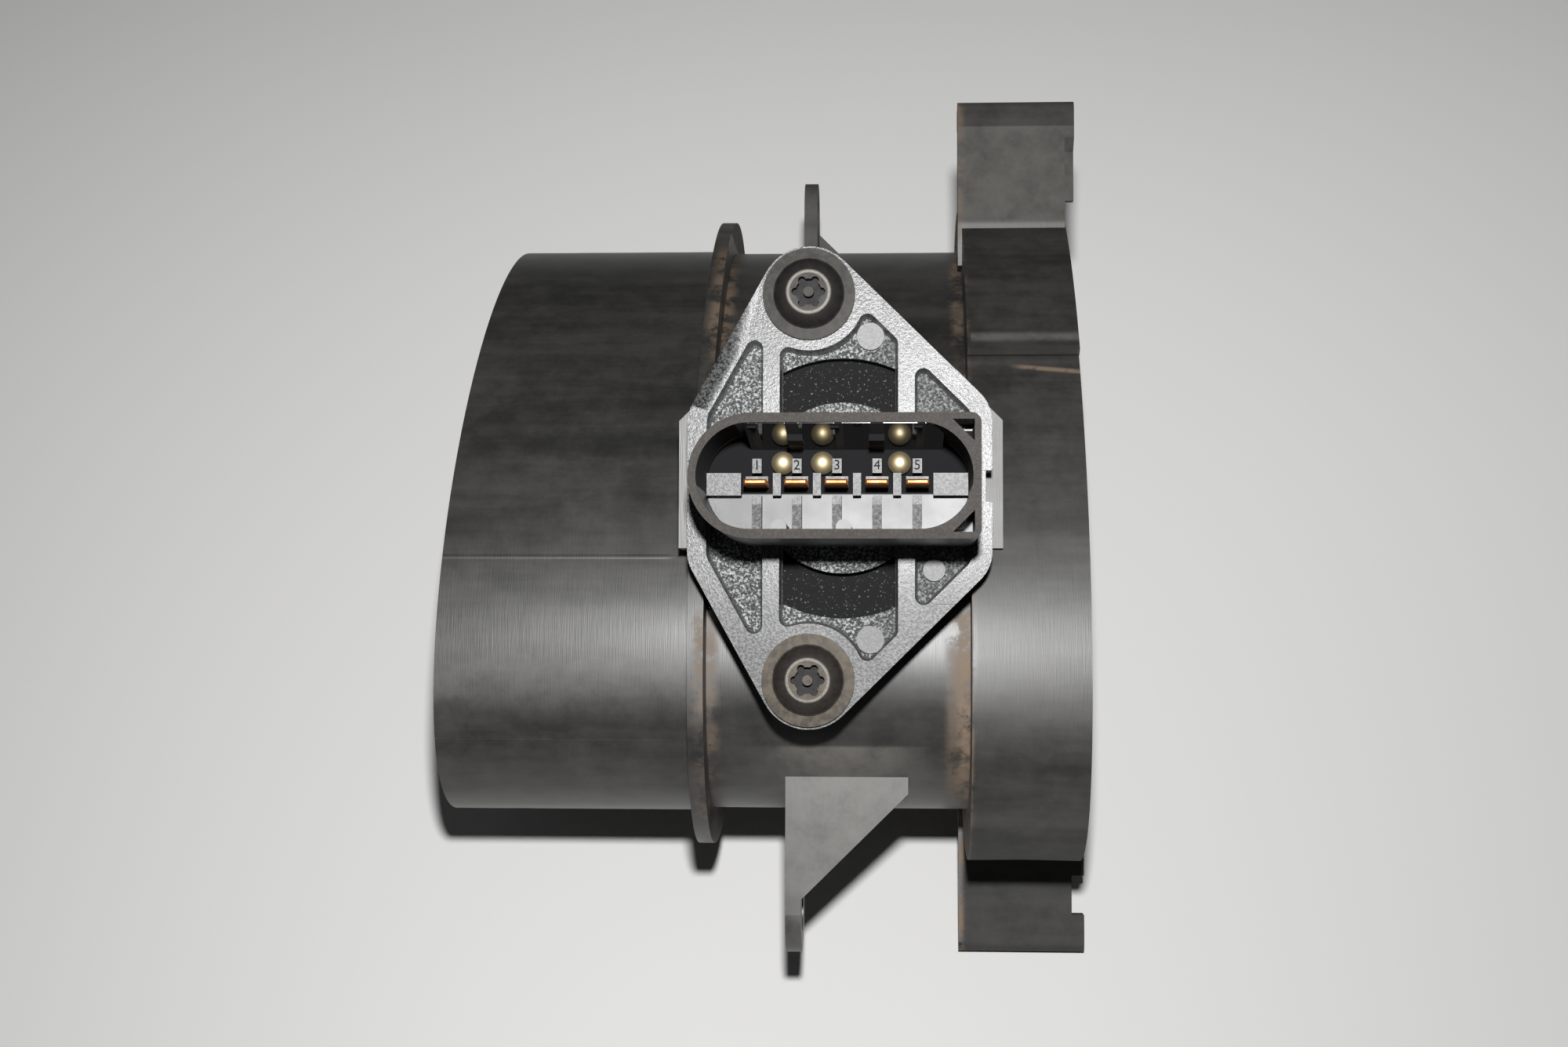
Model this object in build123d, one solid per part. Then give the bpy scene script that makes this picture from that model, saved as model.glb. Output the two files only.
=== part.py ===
from build123d import *
import os

# Plug-in mass airflow sensor in an oval duct.  Millimetres.
# X is the duct axis: air enters at the +X collar and leaves at the -X spigot.
# The part lies as it rests on a table, +Z up, with the sensor leaning towards -Y.

# duct
DUCT_HALF_WIDTH = 49.6
DUCT_HALF_HEIGHT = 27.8
WALL = 2.4
CUT_SPARE = 1.0         # cutters run this far past a face
OVAL_ROLL = -7.1        # turn of the oval about X, degrees
OUTLET_X = -52.6        # end of the hose spigot
OUTLET_SLANT = 2.0      # the spigot's end is cut this far from square, degrees
OUTLET_TRIM = 20.0      # length of the cutter beyond it
TUBE_END_X = 25.0       # end of the inner tube, inside the collar
SPIGOT_GROW = 0.35      # spigot surface beyond tube surface
RIB_X = -20.2           # hose stop
RIB_WIDTH = 2.1
RIB_HEIGHT = 5.0

# collar that plugs onto the filter box
COLLAR_X = 16.5
COLLAR_LENGTH = 15.2
COLLAR_STEP_WIDE = 7.5  # collar surface beyond tube surface, at the oval's ends
COLLAR_STEP_HIGH = 5.6  # the same, on its flat sides
SHOULDER_RISE = 1.8     # raised band below the far hook
SHOULDER_FROM = 19.6    # foot of its step, in the leaning frame
SHOULDER_SLOPE = 35.0   # lean of the step, degrees
SHOULDER_ROUND = 1.1
SHOULDER_PAST_ROOT = 9.0        # it ends this far past the hooks' root
SEAL_LENGTH = 4.0
SEAL_CLEARANCE = 0.1
SEAL_LIP_INSET = 0.9    # from the groove's walls to the lip
SEAL_LIP_LENGTH = 1.2

# frame of the sensor, hooks and ears: turned about X by this lean
SENSOR_LEAN = 31.9

# hooks on the collar, far one up and near one down; levels are their undersides in the leaning frame
HOOK_X = 15.9
HOOK_THICKNESS = 3.0
HOOK_TIP_ROUND = 0.48   # share of the thickness
HOOK_ROOT = 36.0
FAR_HOOK_LEVEL = 3.0
FAR_HOOK_REACH = 60.6
FAR_PLATE_LENGTH = 15.7
FAR_LIP_LENGTH = 17.1
FAR_LIP_DEPTH = 3.7
TOOTH_FROM = 45.9       # side tooth of the far hook, from its low end to its ramp
TOOTH_RAMP = 53.2
TOOTH_DROP = 1.8        # its low end lies this far under the plate's face
NEAR_HOOK_LEVEL = 0.0
NEAR_HOOK_REACH = 64.2
NEAR_PLATE_LENGTH = 18.2
NOTCH_TO_TIP = 11.1     # side notch of the near hook, from its start to the tip
NOTCH_LENGTH = 5.7
NOTCH_DEPTH = 1.8
CATCH_WIDTH = 3.0       # catch along the far hook's tip, on its hidden side
CATCH_DROP = 1.2

# screw ears with their webs; levels are above the duct axis in the leaning frame
EAR_X = -7.9
EAR_THICKNESS = 2.1
EAR_HALF_WIDTH = 5.5
EAR_HOLE_RADIUS = 2.75
NEAR_EAR_LEVEL = 27.0
NEAR_EAR_REACH = 61.1
FAR_EAR_LEVEL = 27.0    # the same below the axis
FAR_EAR_REACH = 55.6
WEB_THICKNESS = 1.8
WEB_DROP = 7.5          # the web stops this far short of the ear's tip
WEB_LENGTH = 14.2
WEB_SLOPE = 0.986
EAR_ROOT = 30.0

# sensor flange
FLANGE_TOP = 49.0
FLANGE_THICKNESS = 6.0
EYE_X = -4.23           # both screws sit off the sensor axis
EYE_Y = 24.4
EYE_RADIUS = 6.2
CORNER_RADIUS = 5.0
CORNER_Y = 8.2
FLANGE_LEFT = -19.6
FLANGE_RIGHT = 18.85
RIM = 2.4
POCKET_DEPTH = 2.4
DISC_RADIUS = 16.6
DISC_DEPTH = 4.9
BOSS_RADIUS = 10.9
POCKET_CORNER = 1.1
POCKET_DRAFT = 9.0      # lean of the pocket walls, degrees
LEFT_RIB_X = -9.0
RIGHT_RIB_X = 8.1
FLANGE_RIB_WIDTH = 2.1
EYE_WALL = 0.9
EJECTOR_X = 3.54
EJECTOR_Y = 19.3
EJECTOR_RADIUS = 1.74
EJECTOR_RISE = 0.7
SIDE_EJECTOR_X = 11.6
SIDE_EJECTOR_Y = -10.5
SIDE_EJECTOR_RADIUS = 1.4
BAND_WIDTH = 1.9        # raised band along the right rim, in two lengths
BAND_RISE = 0.3
BAND_FROM = 2.0
BAND_TO = 14.8
EDGE_NOTCH_DEPTH = 0.8  # notch in the flange's right edge, between them

# turret that carries the flange
TURRET_INSET = 0.7
WING_LEFT = -21.3
WING_RIGHT = 20.5
WING_LOW = -7.5
WING_HIGH = 12.0
WING_CHAMFER = 3.0
WING_FROM = 8.0         # above the duct axis

# plug, seal and probe
PLUG_RADIUS = 14.0
PLUG_CLEARANCE = 0.1
GROOVE_DEPTH = 1.8
GROOVE_WIDTH = 2.2
GROOVE_BELOW_FLANGE = 2.0
PROBE_LENGTH_X = 20.0
PROBE_THICKNESS = 10.0
PROBE_BOTTOM = -8.0
PROBE_STEM = 4.0        # the tray ends this far below the flange
PROBE_SHELL = 1.4
PROBE_CORNER = 1.5
LID_THICKNESS = 1.2
LID_SEAT = 0.7          # from the probe's side to the lid's seat
LID_GAP = 0.3           # from a lid to the wall between the bays
FIT = 0.1               # clearance round lids, boards and inserts
BAY_SPLIT = 7.0         # wall between electronics bay and air channel
SPLIT_WALL = 1.0
BAY_TOP = 25.0
CHANNEL_HEIGHT = 6.0
CHANNEL_FOOT = 0.8      # from the channel's end to its mouth
OUTLET_RISE = 2.0       # the channel's outlet lies this far above its mouth
MOUTH_DEPTH = 3.0

# connector
SHROUD_X = -0.57
SHROUD_LENGTH = 34.9
SHROUD_WIDTH = 15.0
SHROUD_HEIGHT = 16.3
SHROUD_WALL = 1.15
SHROUD_END_WALL = 0.95
SHROUD_CORNER = 1.2
CAVITY_FLOOR = 1.0      # above the flange's top
BAR_TOP = 3.3
BAR_HALF_WIDTH = 1.4
WINDOW_HALF_LENGTH = 2.0
CORNER_POCKET = 2.6
CORNER_POCKET_DEPTH = 8.0
CORNER_POCKET_WALL = 0.8
BLADE_SEAT_Y = 0.35     # the block that holds a blade sits off its middle
BLADE_SEAT_SPARE = 0.6
TAB_WIDTH = 1.15
TAB_LENGTH = 1.8
KEY_WIDTH = 1.9
KEY_REACH = 1.6
KEY_HEIGHT = 10.0
KEY_BUMP_RADIUS = 0.95
KEY_BUMP_SHARE = 0.65   # share of the radius from the wall to the bump's centre
KEY_BUMP_PLACES = (-6.9, 1.0)           # along X from the shroud's middle
WALL_RIB_WIDTH = 1.05
WALL_RIB_REACH = 0.5
WALL_RIB_HEIGHT = 14.5
WALL_BITE = 0.2         # ribs run this far into the wall

# contacts
PIN_COUNT = 5
PIN_PITCH = 5.0
BLADE_WIDTH = 2.8
BLADE_THICKNESS = 0.65
BLADE_TIP = 7.3         # above the flange's top
BLADE_BEVEL = 0.2
TAIL_WIDTH = 1.2
TAIL_PITCH = 2.6
TAIL_INTO_BAY = 3.0
STEP_RISE = 0.6         # top of the middle contact's step, above the flange's underside
STEP_SPACING = 1.5      # drop from one step to the next, in tail widths
TEST_PIN_RADIUS = 1.25
TEST_PIN_Y = 2.75
TEST_PIN_PLACES = (-6.8, -1.85, 7.8)    # along X from the shroud's middle
TEST_PIN_DEPTH = 3.0

# screws, with a six-lobe socket round a centre pin
HEAD_RADIUS = 5.85
HEAD_RIM = 0.8
HEAD_HEIGHT = 2.4
HEAD_TOP_RADIUS = 2.75
HEAD_CREST = 0.15       # the rim's top rises by this towards the dome
DOME_FOOT = 0.77        # foot and middle of the dome, as shares of the head's radius
DOME_MIDDLE = 0.62
DOME_MIDDLE_RISE = 0.82         # level of that middle, as a share of the head's height
SOCKET_RADIUS = 1.65
LOBE_RADIUS = 0.5
SOCKET_DEPTH = 1.6
SOCKET_PIN_RADIUS = 0.64
SCREW_RADIUS = 2.0
SCREW_LENGTH = 16.0
SCREW_CLEARANCE = 0.25
SCREW_TIP_BEVEL = 0.8
SCREW_TIP_LENGTH = 1.2
WELL_SPARE = 2.0        # room under the screw's tip
INSERT_WALL = 1.2
INSERT_LENGTH = 8.0
INSERT_GROOVE = 0.4     # depth of the insert's groove, which spans the two shares below
GROOVE_STARTS = 0.35
GROOVE_ENDS = 0.65

# flow straightener and screen
GRID_DEPTH = 5.0
GRID_PITCH = 8.2
GRID_BAR = 0.8
GRID_RIM = 1.5
SCREEN_THICKNESS = 0.6
SCREEN_PITCH = 7.4
SCREEN_WIRE = 0.5
RETAINER_WIDTH = 1.4
SEAT_DEPTH = 0.9        # counterbore in the tube that the grid drops into

# electronics; places are measured from the wall between the bays
PLATE_THICKNESS = 0.8
BOARD_THICKNESS = 0.7
BOARD_MARGIN = 1.0
BOARD_FROM = 4.0
BOARD_GAP = 0.8
IC_LENGTH = 6.0
IC_WIDTH = 4.5
IC_HEIGHT = 1.2
IC_FROM = 5.5
CAPACITOR_LENGTH = 1.4
CAPACITOR_WIDTH = 0.9
CAPACITOR_PITCH = 1.8
CAPACITOR_X = 5.5
CHIP_HOLDER_WIDTH = 5.0
CHIP_HOLDER_THICKNESS = 0.6
CHIP_HOLDER_FROM = 5.0  # above the probe's bottom
CHIP_HOLDER_BITE = 3.8
CHIP_WIDTH = 3.2
CHIP_LENGTH = 4.0
CHIP_THICKNESS = 0.3
CHIP_MARGIN = 0.6

INLET_X = COLLAR_X + COLLAR_LENGTH
FLANGE_UNDER = FLANGE_TOP - FLANGE_THICKNESS
LEAN = Rot(X=SENSOR_LEAN)


def block(x0, x1, y0, y1, z0, z1):
    """Box between two corners."""
    return Pos((x0 + x1) / 2, (y0 + y1) / 2, (z0 + z1) / 2) * Box(x1 - x0, y1 - y0, z1 - z0)


def copies(sketch, *places):
    """One sketch holding a copy at each place."""
    return Sketch() + [Pos(*place) * sketch for place in places]


def raised(sketch, z0, z1):
    """Sketch in XY, extruded between two levels."""
    return extrude(Pos(0, 0, z0) * sketch, amount=z1 - z0)


def oval(grow=0.0):
    """Duct section, larger than the tube's outside by grow."""
    return Ellipse(DUCT_HALF_WIDTH + grow, DUCT_HALF_HEIGHT + grow, rotation=OVAL_ROLL)


def collar_oval(grow=0.0):
    """Collar section, larger than the collar's outside by grow."""
    half_width = DUCT_HALF_WIDTH + COLLAR_STEP_WIDE + grow
    half_height = DUCT_HALF_HEIGHT + COLLAR_STEP_HIGH + grow
    return Ellipse(half_width, half_height, rotation=OVAL_ROLL)


def along_duct(section, x0, x1):
    """Section in the YZ plane, extruded from x0 to x1."""
    return extrude(Plane.YZ.offset(x0) * section, amount=x1 - x0)


def pin_x(number):
    """Place of a contact along X, counted from 0 at the left."""
    return SHROUD_X + (number - (PIN_COUNT - 1) / 2) * PIN_PITCH


# ---------------------------------------------------------------- outlines

def flange_outline():
    """Kite round two screw eyes and four corners."""
    right = FLANGE_RIGHT - CORNER_RADIUS
    left = FLANGE_LEFT + CORNER_RADIUS
    with BuildSketch() as kite:
        with Locations((EYE_X, EYE_Y), (EYE_X, -EYE_Y)):
            Circle(EYE_RADIUS)
        with Locations((right, CORNER_Y), (right, -CORNER_Y), (left, CORNER_Y), (left, -CORNER_Y)):
            Circle(CORNER_RADIUS)
        make_hull()
    return kite.sketch


def between(x0, x1):
    """Tall strip of the XY plane between two places along X."""
    reach = 2 * (EYE_Y + EYE_RADIUS)
    return Pos((x0 + x1) / 2, 0) * Rectangle(x1 - x0, reach)


def rounded(sketch, radius):
    """The sketch with its outward corners rounded."""
    return offset(offset(sketch, -radius), radius)


def pocket_outlines():
    """The three fields between the flange's rim and its two ribs."""
    half_rib = FLANGE_RIB_WIDTH / 2
    field = offset(flange_outline(), -RIM)
    field -= copies(Circle(EYE_RADIUS + EYE_WALL), (EYE_X, EYE_Y), (EYE_X, -EYE_Y))
    strips = (between(FLANGE_LEFT, LEFT_RIB_X - half_rib),
              between(LEFT_RIB_X + half_rib, RIGHT_RIB_X - half_rib),
              between(RIGHT_RIB_X + half_rib, FLANGE_RIGHT))
    return [rounded(field & strip, POCKET_CORNER) for strip in strips]


def rim_bands():
    """Band along the flange's right edge, in two lengths."""
    ring = flange_outline() - offset(flange_outline(), -BAND_WIDTH)
    window = Rectangle(FLANGE_RIGHT, BAND_TO - BAND_FROM)
    middle = (BAND_TO + BAND_FROM) / 2
    return ring & copies(window, (FLANGE_RIGHT, middle), (FLANGE_RIGHT, -middle))


def shroud_outline():
    """Connector wall: round at the left end, square at the right."""
    half_width = SHROUD_WIDTH / 2
    half_length = SHROUD_LENGTH / 2
    round_end = Pos(half_width - half_length, 0) * Circle(half_width)
    square_end = Pos(half_width / 2, 0) * Rectangle(SHROUD_LENGTH - half_width, SHROUD_WIDTH)
    right_corners = square_end.vertices().group_by(Axis.X)[-1]
    square_end = fillet(right_corners, SHROUD_CORNER)
    return Pos(SHROUD_X, 0) * (round_end + square_end)


def cavity_outline():
    """Obround that the plug goes into."""
    height = SHROUD_WIDTH - 2 * SHROUD_WALL
    length = SHROUD_LENGTH - 2 * SHROUD_END_WALL
    return Pos(SHROUD_X, 0) * SlotOverall(length, height)


# ----------------------------------------------------------------- housing

def duct_tube():
    """Outside of the tube, its spigot and its hose stop."""
    outside = along_duct(oval(), RIB_X, TUBE_END_X)
    outside += along_duct(oval(SPIGOT_GROW), OUTLET_X - WALL, RIB_X)
    return outside + along_duct(oval(RIB_HEIGHT), RIB_X, RIB_X + RIB_WIDTH)


def outlet_trim():
    """What lies beyond the slanted end of the spigot."""
    far = 3 * DUCT_HALF_WIDTH
    slab = Pos(-OUTLET_TRIM / 2, 0, 0) * Box(OUTLET_TRIM, far, far)
    return Pos(OUTLET_X, 0, 0) * Rot(X=OVAL_ROLL) * Rot(Z=-OUTLET_SLANT) * slab


def shoulder():
    """Raised band on the collar, from a rounded step round to the far hook."""
    ring = along_duct(collar_oval(SHOULDER_RISE) - collar_oval(-WALL), COLLAR_X, INLET_X)
    window = block(COLLAR_X, INLET_X, SHOULDER_FROM, HOOK_ROOT + SHOULDER_PAST_ROOT,
                   0, DUCT_HALF_WIDTH)
    foot = Pos(0, SHOULDER_FROM, DUCT_HALF_HEIGHT)
    window -= foot * Rot(X=-SHOULDER_SLOPE) * block(0, 2 * INLET_X, -DUCT_HALF_WIDTH, 0,
                                                    -DUCT_HALF_WIDTH, DUCT_HALF_WIDTH)
    band = (Rot(X=-SENSOR_LEAN) * ring) & window
    step_edges = band.edges().filter_by(Axis.X).sort_by(Axis.Z)
    return LEAN * fillet(step_edges[-1], SHOULDER_ROUND)


def clip_plate(length, root, reach, level):
    """Flat plate of a hook, rounded along its tip."""
    plate = block(HOOK_X, HOOK_X + length, root, reach, level, level + HOOK_THICKNESS)
    tip_edges = plate.edges().filter_by(Axis.X).group_by(Axis.Y)[-1]
    return fillet(tip_edges, HOOK_TIP_ROUND * HOOK_THICKNESS)


def far_hook():
    """Clip plate with a wider lip, a side tooth, and a catch on its hidden side."""
    face = FAR_HOOK_LEVEL + HOOK_THICKNESS
    lip_root = FAR_HOOK_REACH - FAR_LIP_DEPTH
    plate = clip_plate(FAR_PLATE_LENGTH, HOOK_ROOT, FAR_HOOK_REACH, FAR_HOOK_LEVEL)
    lip = clip_plate(FAR_LIP_LENGTH, lip_root, FAR_HOOK_REACH, FAR_HOOK_LEVEL)
    ramp_top = TOOTH_RAMP + TOOTH_DROP
    side = Polyline((TOOTH_FROM, FAR_HOOK_LEVEL), (TOOTH_FROM, face - TOOTH_DROP),
                    (TOOTH_RAMP, face - TOOTH_DROP), (ramp_top, face), (lip_root, face),
                    (lip_root, FAR_HOOK_LEVEL), close=True)
    tooth = along_duct(make_face(side), HOOK_X + FAR_PLATE_LENGTH, HOOK_X + FAR_LIP_LENGTH)
    catch = block(HOOK_X, HOOK_X + FAR_PLATE_LENGTH, FAR_HOOK_REACH - FAR_LIP_DEPTH,
                  FAR_HOOK_REACH - FAR_LIP_DEPTH + CATCH_WIDTH,
                  FAR_HOOK_LEVEL - CATCH_DROP, FAR_HOOK_LEVEL + CATCH_DROP)
    return plate + lip + tooth + catch


def near_hook():
    """Clip plate with a notch in its side; it's drawn upwards and turned over later."""
    level = -NEAR_HOOK_LEVEL - HOOK_THICKNESS
    plate = clip_plate(NEAR_PLATE_LENGTH, HOOK_ROOT, NEAR_HOOK_REACH, level)
    right = HOOK_X + NEAR_PLATE_LENGTH
    notch_from = NEAR_HOOK_REACH - NOTCH_TO_TIP
    return plate - block(right - NOTCH_DEPTH, right + NOTCH_DEPTH,
                         notch_from, notch_from + NOTCH_LENGTH,
                         level - CUT_SPARE, level + HOOK_THICKNESS + CUT_SPARE)


def ear(reach, level):
    """Screw ear across the duct, with its web lying along the duct."""
    half = EAR_HALF_WIDTH
    centre = Pos(reach - half, level)
    shank_length = reach - half - EAR_ROOT
    shank = Pos(EAR_ROOT + shank_length / 2, level) * Rectangle(shank_length, 2 * half)
    outline = centre * Circle(half) + shank - centre * Circle(EAR_HOLE_RADIUS)
    plate = along_duct(outline, EAR_X, EAR_X + EAR_THICKNESS)
    web_reach = reach - WEB_DROP
    inner_x = EAR_X + EAR_THICKNESS
    web = Polyline((inner_x, EAR_ROOT), (inner_x, web_reach),
                   (inner_x + WEB_LENGTH, web_reach - WEB_SLOPE * WEB_LENGTH),
                   (inner_x + WEB_LENGTH, EAR_ROOT), close=True)
    top = level + half
    return plate + raised(make_face(web), top - WEB_THICKNESS, top)


def turret():
    """Block under the flange, with a wing on each side."""
    body = raised(offset(flange_outline(), -TURRET_INSET), 0, FLANGE_UNDER)
    wing_edges = Pos((WING_LEFT + WING_RIGHT) / 2, (WING_LOW + WING_HIGH) / 2) * Rectangle(
        WING_RIGHT - WING_LEFT, WING_HIGH - WING_LOW)
    upper = wing_edges.vertices().group_by(Axis.Y)[-1]
    wings = raised(chamfer(upper, WING_CHAMFER), WING_FROM, FLANGE_UNDER)
    return body + wings


def screw_wells():
    """Bores for the two threaded inserts, clear for the screw tips."""
    radius = SCREW_RADIUS + INSERT_WALL
    depth = SCREW_LENGTH - FLANGE_THICKNESS + WELL_SPARE
    well = Pos(0, 0, FLANGE_UNDER - depth / 2) * Cylinder(SCREW_RADIUS + SCREW_CLEARANCE, depth)
    seat = Pos(0, 0, FLANGE_UNDER - INSERT_LENGTH / 2) * Cylinder(radius, INSERT_LENGTH)
    return [Pos(EYE_X, y, 0) * (well + seat) for y in (EYE_Y, -EYE_Y)]


def housing():
    """One moulding: duct, collar, hooks, ears and sensor turret."""
    grid_seat = TUBE_END_X - GRID_DEPTH - SCREEN_THICKNESS - RETAINER_WIDTH
    solid = duct_tube() + along_duct(collar_oval(), COLLAR_X, INLET_X)
    solid += shoulder()
    solid += LEAN * far_hook() + LEAN * Rot(X=180) * near_hook()
    solid += LEAN * mirror(ear(NEAR_EAR_REACH, NEAR_EAR_LEVEL), Plane.XZ)
    solid += LEAN * mirror(ear(FAR_EAR_REACH, FAR_EAR_LEVEL), Plane.XY)
    solid += LEAN * turret()
    solid -= along_duct(oval(-WALL), OUTLET_X - 2 * WALL, TUBE_END_X)
    solid -= along_duct(oval(SEAT_DEPTH - WALL), grid_seat, TUBE_END_X)
    solid -= along_duct(collar_oval(-WALL), TUBE_END_X, INLET_X)
    solid -= along_duct(collar_oval(-WALL) - oval(), COLLAR_X + WALL, TUBE_END_X)
    solid -= outlet_trim()
    solid -= LEAN * raised(Circle(PLUG_RADIUS + PLUG_CLEARANCE), 0, FLANGE_UNDER)
    for well in screw_wells():
        solid -= LEAN * well
    return solid


# ------------------------------------------------------------- inlet parts

def oval_lattice(outer, rim, pitch, bar, depth):
    """Rim with a square lattice of bars, as one flat moulding."""
    grid = outer
    columns = int(DUCT_HALF_WIDTH / pitch)
    rows = int(DUCT_HALF_HEIGHT / pitch)
    upright = [Pos(i * pitch, 0) * Rectangle(bar, 3 * DUCT_HALF_HEIGHT)
               for i in range(-columns, columns + 1)]
    level = [Pos(0, j * pitch) * Rectangle(3 * DUCT_HALF_WIDTH, bar)
             for j in range(-rows, rows + 1)]
    bars = Rot(Z=OVAL_ROLL) * (Sketch() + upright + level)
    return along_duct((grid - rim) + (bars & outer), 0, depth)


def flow_grid():
    """Straightener that fills the tube's mouth."""
    outer = oval(SEAT_DEPTH - WALL - FIT)
    rim = oval(SEAT_DEPTH - WALL - FIT - GRID_RIM)
    x = TUBE_END_X - RETAINER_WIDTH - GRID_DEPTH
    return Pos(x, 0, 0) * oval_lattice(outer, rim, GRID_PITCH, GRID_BAR, GRID_DEPTH)


def wire_screen():
    """Wire mesh behind the straightener."""
    outer = oval(SEAT_DEPTH - WALL - FIT)
    rim = oval(SEAT_DEPTH - WALL - FIT - GRID_RIM)
    x = TUBE_END_X - RETAINER_WIDTH - GRID_DEPTH - SCREEN_THICKNESS
    return Pos(x, 0, 0) * oval_lattice(outer, rim, SCREEN_PITCH, SCREEN_WIRE, SCREEN_THICKNESS)


def grid_retainer():
    """Snap ring that keeps straightener and screen in the tube."""
    ring = oval(SEAT_DEPTH - WALL) - oval(SEAT_DEPTH - WALL - GRID_RIM)
    return along_duct(ring, TUBE_END_X - RETAINER_WIDTH, TUBE_END_X)


def inlet_seal():
    """Rubber profile in the collar's groove, with one sealing lip."""
    ring = collar_oval(-WALL - SEAL_CLEARANCE) - oval(SEAL_CLEARANCE)
    back = COLLAR_X + WALL
    front = back + SEAL_LENGTH
    lip = collar_oval(-WALL - SEAL_LIP_INSET) - oval(SEAL_LIP_INSET)
    return along_duct(ring, back, front) + along_duct(lip, back, front + SEAL_LIP_LENGTH)


# ------------------------------------------------------------- sensor body

def flange():
    """Kite plate with its pockets, ribs, dark disc, rim bands and ejector marks."""
    plate = raised(flange_outline(), FLANGE_UNDER, FLANGE_TOP)
    plate += raised(rim_bands(), FLANGE_TOP - BAND_RISE, FLANGE_TOP + BAND_RISE)
    floor = FLANGE_TOP - POCKET_DEPTH
    fields = pocket_outlines()
    for field in fields:
        for face in field.faces():
            plate -= extrude(Pos(0, 0, FLANGE_TOP) * face, amount=-POCKET_DEPTH, taper=POCKET_DRAFT)
    disc = (fields[1] & Circle(DISC_RADIUS)) - Circle(BOSS_RADIUS)
    plate -= raised(disc, FLANGE_TOP - DISC_DEPTH, floor)
    marks = copies(Circle(EJECTOR_RADIUS), (EJECTOR_X, EJECTOR_Y), (EJECTOR_X, -EJECTOR_Y))
    marks += Pos(SIDE_EJECTOR_X, SIDE_EJECTOR_Y) * Circle(SIDE_EJECTOR_RADIUS)
    plate += raised(marks, floor - EJECTOR_RISE, floor + EJECTOR_RISE)
    plate -= block(FLANGE_RIGHT - EDGE_NOTCH_DEPTH, FLANGE_RIGHT + CUT_SPARE, -BAND_FROM, BAND_FROM,
                   FLANGE_UNDER, FLANGE_TOP)
    holes = copies(Circle(SCREW_RADIUS + SCREW_CLEARANCE), (EYE_X, EYE_Y), (EYE_X, -EYE_Y))
    return plate - raised(holes, FLANGE_UNDER, FLANGE_TOP)


def shroud():
    """Connector wall, its floor and what stands on the floor."""
    top = FLANGE_TOP + SHROUD_HEIGHT
    floor = FLANGE_TOP + CAVITY_FLOOR
    body = raised(shroud_outline(), FLANGE_TOP - POCKET_DEPTH, top)
    body -= raised(cavity_outline(), floor, top)
    corner = SHROUD_X + SHROUD_LENGTH / 2 - CORNER_POCKET_WALL
    edge = SHROUD_WIDTH / 2 - CORNER_POCKET_WALL
    for side in (1, -1):
        triangle = Polyline((corner, side * edge), (corner, side * (edge - CORNER_POCKET)),
                            (corner - CORNER_POCKET, side * edge), close=True)
        body -= raised(make_face(triangle), top - CORNER_POCKET_DEPTH, top)
    details = raised(connector_bar(), floor, FLANGE_TOP + BAR_TOP)
    details += raised(coding_keys(), floor, FLANGE_TOP + KEY_HEIGHT)
    thin_ribs = wall_ribs((0, 2, 4), WALL_RIB_WIDTH, WALL_RIB_REACH)
    details += raised(thin_ribs, floor, FLANGE_TOP + WALL_RIB_HEIGHT)
    return body + details


def connector_bar():
    """Bar round the contacts, with a tab above and a rib below each one."""
    half = SHROUD_LENGTH / 2 - SHROUD_WALL
    bar = Pos(SHROUD_X, 0) * Rectangle(2 * half, 2 * BAR_HALF_WIDTH)
    for number in range(PIN_COUNT):
        x = pin_x(number)
        window = Pos(x, 0) * Rectangle(2 * WINDOW_HALF_LENGTH, 2 * BAR_HALF_WIDTH)
        seat = Pos(x, BLADE_SEAT_Y) * Rectangle(BLADE_WIDTH, BLADE_THICKNESS + BLADE_SEAT_SPARE)
        tab = Pos(x, BAR_HALF_WIDTH + TAB_LENGTH / 2) * Rectangle(TAB_WIDTH, TAB_LENGTH)
        rib_length = SHROUD_WIDTH / 2 - SHROUD_WALL + WALL_BITE - BAR_HALF_WIDTH
        rib = Pos(x, -BAR_HALF_WIDTH - rib_length / 2) * Rectangle(TAB_WIDTH, rib_length)
        bar = bar - window + seat + tab + rib
    return bar


def wall_ribs(places, width, reach):
    """Ribs on the cavity's upper wall, opposite the contacts of these numbers."""
    wall_y = SHROUD_WIDTH / 2 - SHROUD_WALL
    rib = Rectangle(width, reach + WALL_BITE)
    middle = wall_y + (WALL_BITE - reach) / 2
    return copies(rib, *[(pin_x(number), middle) for number in places])


def coding_keys():
    """Two long ribs on the upper wall and two round ones on the lower wall."""
    bump_y = SHROUD_WALL - SHROUD_WIDTH / 2 + KEY_BUMP_SHARE * KEY_BUMP_RADIUS
    bumps = copies(Circle(KEY_BUMP_RADIUS), *[(SHROUD_X + x, bump_y) for x in KEY_BUMP_PLACES])
    return wall_ribs((1, 3), KEY_WIDTH, KEY_REACH) + bumps


def plug():
    """Round plug in the turret, trimmed flush with the duct's wall."""
    stem = raised(Circle(PLUG_RADIUS), 0, FLANGE_UNDER)
    groove = raised(Circle(PLUG_RADIUS) - Circle(PLUG_RADIUS - GROOVE_DEPTH),
                    groove_top() - GROOVE_WIDTH, groove_top())
    duct_bore = Rot(X=-SENSOR_LEAN) * along_duct(oval(-WALL), OUTLET_X, INLET_X)
    return stem - groove - duct_bore


def groove_top():
    return FLANGE_UNDER - GROOVE_BELOW_FLANGE


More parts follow.
